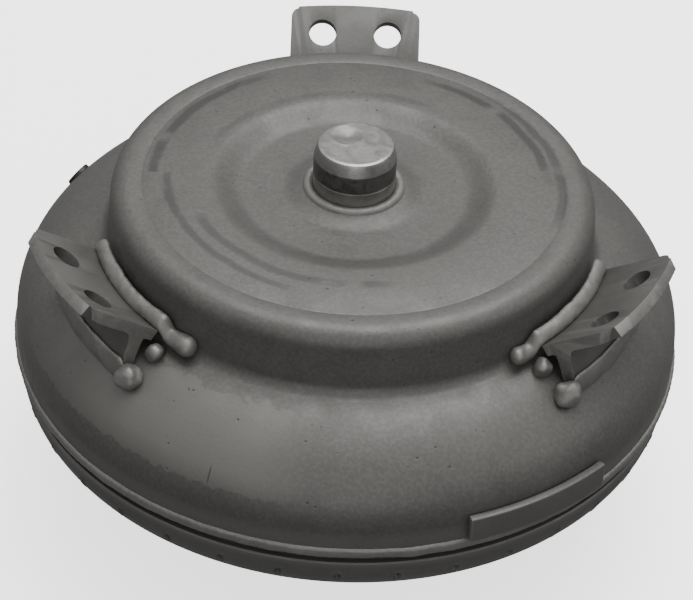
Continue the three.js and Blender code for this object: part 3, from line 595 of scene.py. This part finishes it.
def steel(name, color, metallic, roughness, grain, blotch=14, contrast=0.18, pits=0.5, lathe=0.0):
    """Bare steel: colour that wanders, fine grain in the bump, scattered pits, brighter edges.

    grain is (size, height) and blotch a size, in millimetres; contrast is how far the colour wanders, pits
    how dark the pits are, and lathe the height of turning lines round the axis.
    """
    g = Graph(name)
    wander = g.noise(blotch, 5.0, 0.6)
    cloud = g.noise(blotch * 4.5, 3.0, 0.3)
    speck = g.noise(grain[0] * 1.6, 4.0)
    tone = g.blend(wander, shade(color, 1 - contrast), shade(color, 1 + contrast))
    tone = g.blend(g.span(cloud, 0.42, 0.7, 0.0, 0.5), tone, shade(color, 1 - 1.1 * contrast))
    tone = g.blend(g.span(speck, 0.35, 0.75, 0.0, 0.35), tone, shade(color, 1 + 1.3 * contrast))
    pit = g.math("MULTIPLY", g.span(g.spots(3.4), 0.05, 0.17, 1.0, 0.0), g.span(wander, 0.5, 0.62))
    pit = g.math("MULTIPLY", pit, pits)
    tone = g.blend(pit, tone, shade(color, 0.45))
    tone = g.blend(g.math("MULTIPLY", g.edges(), 0.5), tone, shade(color, 1.7))
    relief = g.bump(g.noise(grain[0], 5.0), grain[1])
    relief = g.bump(g.noise(grain[0] * 0.3, 2.0), grain[1] * 0.35, relief)
    relief = g.bump(pit, -0.12, relief)
    if lathe:
        radius, _, height = g.cylindrical()
        lines = g.math("SINE", g.math("MULTIPLY", g.math("ADD", radius, height), 2 * math.pi / 0.55))
        relief = g.bump(lines, lathe, relief)
    rough_now = g.span(wander, 0.3, 0.7, roughness - 0.07, roughness + 0.09)
    return g.finish(tone, rough_now, relief, metallic)


def cover_steel(name, color):
    """The cover's blasted steel with its handling marks: scuffed arcs, a stain's edge, scratches and pits,
    and painted shade low down.
    """
    g = Graph(name)
    radius, azimuth, height = g.cylindrical()
    wander = g.noise(16, 5.0, 0.8)
    cloud = g.noise(60, 3.0, 0.4)
    speck = g.noise(1.4, 4.0)
    tone = g.blend(wander, shade(color, 0.86), shade(color, 1.12))
    tone = g.blend(g.span(cloud, 0.4, 0.65, 0.0, 0.4), tone, shade(color, 0.88))
    tone = g.blend(g.span(speck, 0.4, 0.65, 0.0, 0.5), tone, shade(color, 1.35))

    # Arcs scuffed by a machine's jaws on the flat ring: (radius, half width, first and last azimuth, depth)
    top = g.span(height, 52, 55)
    wobble = g.math("MULTIPLY", g.math("SUBTRACT", g.noise(26, 2.0), 0.5), 4.0)
    uneven = g.math("ADD", radius, wobble)
    scuffs = 0.0
    for middle, half, first, last, depth in (
        (75, 0.9, 125, 180, 0.75),
        (69, 0.6, -175, -115, 0.65),
        (62, 0.8, -150, -85, 0.6),
        (73, 0.8, 12, 60, 0.75),
        (78, 0.9, -10, 40, 0.6),
        (57, 0.6, 60, 150, 0.35),
        (44, 1.0, -165, -30, 0.15),
    ):
        ring = g.window(uneven, middle - half, middle + half, 1.8)
        reach = g.window(azimuth, first, last, 12)
        mark = g.math("MULTIPLY", g.math("MULTIPLY", ring, reach), depth)
        scuffs = g.math("MAXIMUM", scuffs, mark)
    broken = g.span(g.noise(14, 3.0), 0.3, 0.5)
    scuffs = g.math("MULTIPLY", g.math("MULTIPLY", scuffs, top), broken)
    tone = g.blend(scuffs, tone, shade(color, 0.4))

    # The front left of the crown keeps a faint film whose lower edge runs level and drips a little.
    drip = g.math("MULTIPLY", g.math("SUBTRACT", g.noise(4, 2.0), 0.5), 4.5)
    level = g.math("ADD", height, drip)
    film = g.math("MULTIPLY", g.window(level, 9.5, 30, 0.8), g.window(azimuth, -150, -108, 14))
    film = g.math("MULTIPLY", film, g.span(g.noise(30, 3.0), 0.3, 0.55, 0.6, 1.0))
    tone = g.blend(film, tone, shade(color, 1.45))

    # Hairline scratches: thin lines where stretched noise passes its middle value
    stretch = g.node("ShaderNodeMapping")
    g.put(stretch.inputs["Vector"], g.position())
    g.put(stretch.inputs["Rotation"], (0.3, 0.2, 0.9))
    g.put(stretch.inputs["Scale"], (160, 9, 40))
    lines = g.node("ShaderNodeTexNoise")
    g.put(lines.inputs["Vector"], stretch.outputs[0])
    g.put(lines.inputs["Scale"], 1.4)
    away = g.math("ABSOLUTE", g.math("SUBTRACT", lines.outputs["Fac"], 0.5))
    hair = g.math("MULTIPLY", g.span(away, 0.0, 0.004, 1.0, 0.0), g.span(g.noise(22, 2.0), 0.52, 0.66))
    tone = g.blend(g.math("MULTIPLY", hair, 0.45), tone, shade(color, 0.5))
    cut = g.math("MULTIPLY", g.window(azimuth, -112.7, -112.6, 0.15), g.window(height, 11, 14, 2))
    tone = g.blend(g.math("MULTIPLY", cut, 0.75), tone, shade(color, 0.3))

    pit = g.math("MULTIPLY", g.span(g.spots(4.2), 0.04, 0.15, 1.0, 0.0), g.span(wander, 0.5, 0.6))
    tone = g.blend(g.math("MULTIPLY", pit, 0.7), tone, shade(color, 0.35))
    # Painted shade: the colour grows darker towards the bottom of the crown and the skirt, where less light
    # falls from above.
    low = g.span(height, -6, 12, 0.35, 0.0)
    tone = g.blend(low, tone, shade(color, 0.55))
    tone = g.blend(g.math("MULTIPLY", g.edges(), 0.4), tone, shade(color, 1.6))

    relief = g.bump(g.noise(1.1, 5.0), 0.07)
    relief = g.bump(g.noise(0.35, 2.0), 0.014, relief)
    relief = g.bump(pit, -0.15, relief)
    relief = g.bump(g.noise(24, 2.0), 0.25, relief)
    rough_now = g.span(wander, 0.3, 0.7, 0.42, 0.56)
    return g.finish(tone, rough_now, relief, 0.4)


def pilot_steel(name, color):
    """The pilot's turned steel: mottled and brighter at its edges, with patchy painted shade down its upright
    side.
    """
    g = Graph(name)
    radius, _, height = g.cylindrical()
    smudge_and_shade = g.noise(5, 4.0, 1.0)
    tone = g.blend(smudge_and_shade, shade(color, 0.75), shade(color, 1.3))
    # Painted shade down the pilot's upright side, made patchy by the smudge noise.
    side = g.math("MULTIPLY", g.window(height, 56.5, 69.8, 0.4), g.span(radius, 14.3, 14.9))
    side = g.math("MULTIPLY", side, g.span(smudge_and_shade, 0.25, 0.6, 1.0, 0.65))
    tone = g.blend(side, tone, shade(color, 0.3))
    tone = g.blend(g.math("MULTIPLY", g.edges(), 0.6), tone, shade(color, 1.9))
    lines = g.math("SINE", g.math("MULTIPLY", g.math("ADD", radius, height), 2 * math.pi / 0.5))
    relief = g.bump(g.noise(1.4, 5.0), 0.05)
    relief = g.bump(lines, 0.006, relief)
    return g.finish(tone, g.span(smudge_and_shade, 0.3, 0.7, 0.28, 0.46), relief, 0.8)


def friction_paper(name):
    g = Graph(name)
    fibre = g.noise(0.7, 6.0, 1.5)
    tone = g.blend(fibre, (0.13, 0.085, 0.055, 1), (0.3, 0.21, 0.15, 1))
    relief = g.bump(fibre, 0.05)
    return g.finish(tone, g.span(fibre, 0.2, 0.8, 0.8, 0.95), relief, 0.0)


def seal_plastic(name):
    g = Graph(name)
    mottle = g.noise(2.5, 3.0)
    tone = g.blend(mottle, (0.1, 0.065, 0.03, 1), (0.19, 0.13, 0.07, 1))
    relief = g.bump(g.noise(0.5, 2.0), 0.01)
    return g.finish(tone, g.span(mottle, 0.3, 0.7, 0.38, 0.52), relief, 0.0)


BLASTED = (0.074, 0.0725, 0.068)
cover_finish = cover_steel("cover_steel", BLASTED)
pilot_finish = pilot_steel("pilot_steel", (0.2, 0.195, 0.186))
finishes = {
    "blasted_steel": steel("blasted_steel", BLASTED, 0.4, 0.5, (1.0, 0.035)),
    "turned_steel": steel(
        "turned_steel", (0.24, 0.234, 0.224), 0.85, 0.36, (0.6, 0.006), 9, 0.12, 0.1, 0.006
    ),
    "weld_metal": steel("weld_metal", (0.15, 0.146, 0.138), 0.55, 0.52, (0.8, 0.08), 6, 0.22, 0.3),
    "pressed_steel": steel("pressed_steel", (0.40, 0.39, 0.37), 0.85, 0.38, (1.5, 0.01), 22, 0.1, 0.15),
    "hardened_steel": steel(
        "hardened_steel", (0.5, 0.5, 0.51), 0.95, 0.24, (0.5, 0.004), 12, 0.08, 0.05, 0.003
    ),
    "spring_steel": steel("spring_steel", (0.075, 0.073, 0.072), 0.8, 0.36, (0.7, 0.008), 6, 0.2, 0.1),
    "black_steel": steel("black_steel", (0.02, 0.0195, 0.019), 0.5, 0.42, (0.7, 0.02), 4, 0.3, 0.2),
    "cast_aluminium": steel("cast_aluminium", (0.52, 0.525, 0.53), 0.85, 0.47, (1.3, 0.03), 12, 0.08, 0.2),
    "friction_paper": friction_paper("friction_paper"),
    "seal_plastic": seal_plastic("seal_plastic"),
}
# Brighter steel for the brackets' sawn ends and outer rim: bare sheared metal, and partly a painted
# highlight.
sheared_edge_and_highlight = steel("sheared_edge_and_highlight", (0.2, 0.195, 0.185), 0.7, 0.42, (0.7, 0.06), 4, 0.25, 0.4)

for entry in frame["record"]["subparts"]:
    materials = frame["nodes"][entry["node"]].data.materials
    materials.clear()
    materials.append(finishes[entry["material_slot"]])


def dress(obj, node, slot_name, material=None, body="housing"):
    """Gives a piece its material and body, and hides the CAD node it stands in for."""
    obj.data.materials.clear()
    obj.data.materials.append(material or finishes[slot_name])
    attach(obj, body)
    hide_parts(node)
    return obj


# ---------------------------------------------------------------------------------------------------------
# Cover and pilot
# ---------------------------------------------------------------------------------------------------------


def make_cover():
    """The pressed cover, a little out of true as pressings are, with its hole for the drain plug."""

    def wavy(r, azimuth, z):
        point = spread(r, azimuth, z)
        return r, z + 0.1 * rough(point, 45) if r < 100 else z

    cover = revolve("cover_pressing", cover_outline, FINE, wavy)
    seat = polar(crown_center, COVER["crown_outer_radius"], PLUG["crown_angle"])
    drill = peg("drill", PLUG["radius"] + 0.3, 12)
    drill.data.transform(plug_frame(seat))
    return dress(place(carve(cover, drill)), "front_cover", "blasted_steel", cover_finish)


def peg(name, radius, length, facets=48):
    """A cylinder about the origin along Z, to cut with."""
    ring = [polar((0, 0), radius, 360 * k / facets) for k in range(facets)]
    return prism(name, ring, -length / 2, length / 2)


def plug_frame(seat):
    """The drain plug's frame: it leaves the crown square to the sheet."""
    azimuth = Matrix.Rotation(math.radians(PLUG["azimuth"]), 4, "Z")
    tip_over = Matrix.Rotation(math.radians(90 - PLUG["crown_angle"]), 4, "Y")
    return azimuth @ Matrix.Translation((seat[0], 0, seat[1])) @ tip_over


def make_plug():
    """The drain plug, flush-headed with a hexagon socket."""
    radius, proud, depth = PLUG["radius"], PLUG["proud"], PLUG["depth"]
    outline = [
        (0, -depth),
        (radius - 0.5, -depth),
        (radius, -depth + 1),
        (radius, proud - 0.7),
        *arc((radius - 0.7, proud - 0.7), 0.7, 0, 90, 5),
        (0, proud),
    ]
    plug = revolve("plug_body", outline, 64)
    socket = peg("socket", PLUG["socket"], 2 * 3.5, 6)
    socket.data.transform(Matrix.Translation((0, 0, proud)))
    carve(plug, socket)
    soften(plug, 0.12)
    seat = polar(crown_center, COVER["crown_outer_radius"], PLUG["crown_angle"])
    plug.data.transform(plug_frame(seat))
    return dress(place(plug), "drain_plug", "black_steel")


def make_pilot():
    """The turned pilot, with the shallow mark of a centre punch beside the middle of its end face."""
    dent = Vector((-2.9, 5.2))

    def dented(r, azimuth, z):
        if z < PILOT["top"] - 0.01:
            return r, z
        point = spread(r, azimuth, 0)
        away = (Vector((point.x, point.y)) - dent).length
        lip = 0.12 * math.exp(-(((away - 6.4) / 0.7) ** 2))
        return r, z - 0.7 * ease(1 - away / 6.2) + (lip if point.x < dent.x else 0)

    nose = place(revolve("pilot_nose", pilot_outline, FINE, dented))
    dress(nose, "pilot_hub", "turned_steel", pilot_finish)

    def rippled(r, azimuth, z):
        lift = 0.1 * rough(spread(r, azimuth, z), 2.4) if z > 56 else 0
        return r, z + lift

    dress(place(revolve("pilot_bead", pilot_weld_outline, FINE, rippled)), "pilot_weld", "weld_metal")


make_cover()
make_plug()
make_pilot()

# ---------------------------------------------------------------------------------------------------------
# Lug brackets and their welds
# ---------------------------------------------------------------------------------------------------------

plate_rise = math.tan(math.radians(LUG["slope"]))
plate_normal = (-math.sin(math.radians(LUG["slope"])), math.cos(math.radians(LUG["slope"])))


def plate_top(r):
    return LUG["hole_height"] + (r - LUG["hole_circle"]) * plate_rise


def under_plate(r):
    """The underside's point opposite the top's point at a radius."""
    return (r - plate_normal[0] * LUG["sheet"], plate_top(r) - plate_normal[1] * LUG["sheet"])


def underside_at(r):
    return (r, plate_top(r) - LUG["sheet"] / plate_normal[1])


lug_section = [
    (LUG["inner"], plate_top(LUG["inner"])),
    (LUG["outer"], plate_top(LUG["outer"])),
    under_plate(LUG["outer"]),
    underside_at(109.3),
    (108.6, 42.0),
    (108.7, 39.8),
    (109.3, 37.2),
    (110.4, 34.6),
    (110.9, 31),
    (111, crown_height(111) + 0.3),
    (107.3, crown_height(107.3) + 0.3),
    (106, 31.6),
    (104.3, 36),
    (103.2, 38.1),
    underside_at(101.9),
    under_plate(LUG["inner"]),
]


def lug_plan():
    """The bracket's outline in plan: parallel ends and rounded outer corners."""
    half, corner = LUG["half_width"], LUG["corner"]
    reach = math.sqrt(LUG["outer"] ** 2 - half**2)
    side = [(80, half), *arc((reach - corner, half - corner), corner, 90, 12, 8), (140, half - 2 * corner)]
    return [(x, -y) for x, y in side] + [(x, y) for x, y in reversed(side)]


def make_bracket(side, azimuth):
    """A bracket; its sawn ends and its outer rim take a brighter steel: bare sheared metal, and partly a
    painted highlight.
    """
    bracket = sector(f"bracket_{side}", lug_section, -24, 24, 60)
    carve(bracket, prism("trim", lug_plan(), 0, 80), "INTERSECT")
    for way in (-1, 1):
        drill = peg("drill", LUG["hole_radius"], 14)
        tilt = Matrix.Rotation(-math.radians(LUG["slope"]), 4, "Y")
        middle = Matrix.Translation((LUG["hole_circle"], way * LUG["hole_half_spacing"], LUG["hole_height"]))
        drill.data.transform(middle @ tilt)
        carve(bracket, drill)
    soften(bracket, 0.5, 3)
    place(bracket, azimuth)
    dress(bracket, f"lug_bracket_{side}", "blasted_steel")
    bracket.data.materials.append(sheared_edge_and_highlight)
    outward = spread(1, azimuth, 0)
    along = spread(1, azimuth + 90, 0)
    end_starts = (LUG["half_width"] - 1.5) * MM
    rim_starts = (LUG["outer"] - 9) * MM
    # The upright end and rim faces take the brighter steel, partly a painted highlight.
    for polygon in bracket.data.polygons:
        normal, center = polygon.normal, polygon.center
        on_end = abs(normal.dot(along)) > 0.7 and abs(center.dot(along)) > end_starts
        on_rim = normal.dot(outward) > 0.55 and center.dot(outward) > rim_starts
        polygon.material_index = 1 if on_end or on_rim else 0


# Degrees that each run of weld passes the bracket's ends, and which end its lumps of weld lie at
UPPER_REACH = {"rear": (-3, 3), "left": (-1, 9.2), "right": (-7, 1)}
LOWER_REACH = {"rear": (0, 0), "left": (-2, 1), "right": (-1, 2)}
LUMPED_END = {"rear": 0, "left": 1, "right": -1}


def make_bracket_welds(side, azimuth):
    """The runs above and below a bracket; on the left and right brackets each starts or stops in lumps at one
    of its ends.
    """
    lumped = LUMPED_END[side]
    first, last = (LUG["end_angle"] * way + reach for way, reach in zip((-1, 1), UPPER_REACH[side]))

    def past_end(at):
        return ease((lumped * at - LUG["end_angle"]) / 2.5) if lumped else 0

    def upper_middle(at):
        return 95.3 - 0.8 * past_end(at), 42.0 - 4.4 * past_end(at)

    def upper_size(at):
        tip = ease((lumped * at - LUG["end_angle"] - 3) / 4)
        swell = past_end(at) * (0.25 + 0.45 * tip)
        return 3.0 * (1 + 0.3 * swell), 1.6 * (1 + 1.9 * swell)

    upper = [bead("run", upper_middle, upper_size, -42, first, last)]
    first_low, last_low = (13.4 * way + reach for way, reach in zip((-1, 1), LOWER_REACH[side]))
    lower = [bead("run", lambda at: (111.8, 27.6), lambda at: (4.7, 1.3), -84, first_low, last_low)]
    if lumped:
        low_end = last_low if lumped > 0 else first_low
        at_waist = lumped * (LUG["end_angle"] + 1.2)
        lower.append(blob("lump", 112.4, low_end + 1.6 * lumped, 27.2, (4.6, 4.9, 4.8), 3.1 * lumped))
        upper.append(blob("lump", 100.4, at_waist, 32.6, (3.6, 3.3, 3.6), 1.7 * lumped))
    upper_run = place(merged(f"upper_run_{side}", upper), azimuth, 60)
    lower_run = place(merged(f"lower_run_{side}", lower), azimuth, 60)
    dress(upper_run, f"lug_upper_weld_{side}", "weld_metal")
    dress(lower_run, f"lug_lower_weld_{side}", "weld_metal")


for side, azimuth in LUG["azimuths"].items():
    make_bracket(side, azimuth)
    make_bracket_welds(side, azimuth)

# ---------------------------------------------------------------------------------------------------------
# Seam weld, balance weight, impeller shell and pump hub
# ---------------------------------------------------------------------------------------------------------


def make_seam():
    """The weld round the joint of the two halves, rippled, with the lump where its run starts and stops."""
    pitch = 360 / 220

    def rippled(r, azimuth, z):
        if r < 126:
            return r, z
        point = spread(r, azimuth, z)
        height = (z - SEAM["bottom"]) / (SEAM["top"] - SEAM["bottom"])
        wave = math.cos(math.radians(360 * (azimuth / pitch + 0.5 * abs(height - 0.5))))
        from_start = (azimuth - SEAM["start_azimuth"]) * math.radians(1) * SEAM["radius"]
        lump = math.exp(-((from_start / 4.2) ** 2))
        rise = 0.05 * wave + 0.25 * rough(point, 6) + 0.4 * lump
        edge = 0.35 * rough(point, 9) - 0.5 * lump if height < 0.3 else 0.15 * rough(point, 5)
        return min(r + rise, SEAM["radius"] + 0.5), z + edge

    dress(place(revolve("seam_run", seam_outline, 4 * FINE, rippled), 0, 60), "seam_weld", "weld_metal")


def make_impeller_shell():
    """The impeller shell, with the ring of dents pressed into its rim that holds the blades."""
    pitch = 360 / IMPELLER["dents"]
    half_width, half_height, depth = 1.25, 2.0, 1.4
    inner_limit = IMPELLER["corner_center"][0] + 6.3  # radius inside which nothing is dented

    def dented(r, azimuth, z):
        if r < inner_limit:
            return r, z
        off = (azimuth - IMPELLER["dent_start"]) / pitch
        across = (off - round(off)) * math.radians(pitch) * 125
        up = z - IMPELLER["dent_height"]
        across -= 0.25 * up
        away = math.hypot(across / half_width, up / half_height)
        lip = 0.3 * math.exp(-(((away - 1.3) / 0.3) ** 2))
        return r - depth * ease(1.15 - away) + lip, z

    segments = 30 * IMPELLER["dents"]
    shell = place(revolve("impeller_pressing", impeller_outline, segments, dented))
    dress(shell, "impeller_shell", "blasted_steel")


def make_balance_weight():
    inside = COVER["widest"] + 0.2
    outside = inside + BALANCE["sheet"]
    section = [
        (inside, BALANCE["bottom"] + 0.3),
        (outside, BALANCE["bottom"]),
        (outside - 0.2, BALANCE["top"]),
        (inside, BALANCE["top"]),
    ]
    weight = sector("weight_strip", section, BALANCE["start"], BALANCE["end"], 64)
    dress(place(soften(weight, 0.6, 3)), "balance_weight", "blasted_steel")


def make_pump_hub():
    """The pump hub with its two drive slots, and the weld that joins it to the shell."""
    hub = revolve("hub_tube", pump_hub_outline, 128)
    half = 9 / 2
    slots = prism("slots", [(-40, -half), (40, -half), (40, half), (-40, half)], hub_end - 8, hub_end + 8)
    carve(hub, slots)
    dress(place(soften(hub, 0.3)), "pump_hub", "turned_steel")

    def rippled(r, azimuth, z):
        if r < PUMP_HUB["flange"] + 0.5:
            return r, z
        wave = 0.12 * math.cos(math.radians(azimuth) * 110) + 0.3 * rough(spread(r, azimuth, z), 5)
        return r + 0.5 * wave, z - 0.5 * wave

    run = place(revolve("hub_run", hub_weld_outline, 2 * FINE, rippled), 0, 60)
    dress(run, "pump_hub_weld", "weld_metal")


make_seam()
make_impeller_shell()
make_balance_weight()
make_pump_hub()

# ---------------------------------------------------------------------------------------------------------
# Floor, light and camera
# ---------------------------------------------------------------------------------------------------------


def make_floor():
    """A plain pale floor, a little bright of itself. It throws no light up onto the part."""
    half = 6.0
    mesh = bpy.data.meshes.new("floor")
    corners = [(-half, -half, 0), (half, -half, 0), (half, half, 0), (-half, half, 0)]
    mesh.from_pydata(corners, [], [(0, 1, 2, 3)])
    floor = linked("floor", mesh)
    g = Graph("floor")
    tone = g.blend(g.noise(120, 2.0), (0.9, 0.9, 0.9, 1), (0.93, 0.93, 0.93, 1))
    g.put(g.shader.inputs["Emission Color"], (1, 1, 1, 1))
    g.put(g.shader.inputs["Emission Strength"], 1.8)
    mesh.materials.append(g.finish(tone, 0.9, g.bump(g.noise(3, 2.0), 0.01), 0.0))
    floor.visible_diffuse = False
    floor.visible_glossy = False


def area_light(name, place_at, size, power):
    """A square soft box that faces the part."""
    light = bpy.data.lights.new(name, "AREA")
    light.shape = "SQUARE"
    light.size = size
    light.energy = power
    lamp = bpy.data.objects.new(name, light)
    bpy.context.scene.collection.objects.link(lamp)
    lamp.location = place_at
    aim = Vector((0, 0, 0.08)) - Vector(place_at)
    lamp.rotation_euler = aim.to_track_quat("-Z", "Y").to_euler()


def make_world():
    """Soft light from the sky above that fades towards the horizon, and little from below."""
    world = bpy.data.worlds.new("studio")
    world.use_nodes = True
    bpy.context.scene.world = world
    tree = world.node_tree
    sky = tree.nodes["Background"]
    ramp = tree.nodes.new("ShaderNodeValToRGB")
    parts = tree.nodes.new("ShaderNodeSeparateXYZ")
    where = tree.nodes.new("ShaderNodeTexCoord")
    tree.links.new(where.outputs["Generated"], parts.inputs[0])
    tree.links.new(parts.outputs["Z"], ramp.inputs[0])
    tree.links.new(ramp.outputs[0], sky.inputs["Color"])
    low, high = ramp.color_ramp.elements
    low.position = 0.0
    low.color = (0.22, 0.22, 0.22, 1)
    high.position = 0.95
    high.color = (1, 1, 1, 1)
    sky.inputs["Strength"].default_value = 1.3


CAMERA = {
    "azimuth": -1.518,
    "elevation": 39.117,
    "roll": 3.271,
    "aim": (-0.000254, 0.08464),
    "distance": 0.9374,
    "lens": 125.6,
}


def make_camera():
    turn = math.radians(CAMERA["azimuth"])
    rise = math.radians(CAMERA["elevation"])
    roll = math.radians(CAMERA["roll"])
    right = Vector((math.cos(turn), math.sin(turn), 0))
    ahead = Vector((-math.sin(turn), math.cos(turn), 0))
    back = (Vector((0, 0, 1)) * math.sin(rise) - ahead * math.cos(rise)).normalized()
    up = back.cross(right).normalized()
    across = right * math.cos(roll) + up * math.sin(roll)
    upward = up * math.cos(roll) - right * math.sin(roll)
    aim = right * CAMERA["aim"][0] + Vector((0, 0, CAMERA["aim"][1]))
    camera = bpy.data.objects.new("camera", bpy.data.cameras.new("camera"))
    bpy.context.scene.collection.objects.link(camera)
    axes = Matrix((across, upward, back)).transposed().to_4x4()
    camera.matrix_world = Matrix.Translation(aim + back * CAMERA["distance"]) @ axes
    camera.data.lens = CAMERA["lens"]
    camera.data.sensor_width = 36
    camera.data.clip_start = 0.01
    bpy.context.scene.camera = camera


make_floor()
make_world()
area_light("top_light", (0.2, 0.3, 1.6), 1.2, 30)
area_light("right_light", (1.5, -0.3, 0.9), 0.8, 3)
area_light("front_light", (0, -1.6, 0.5), 1.0, 5)
make_camera()
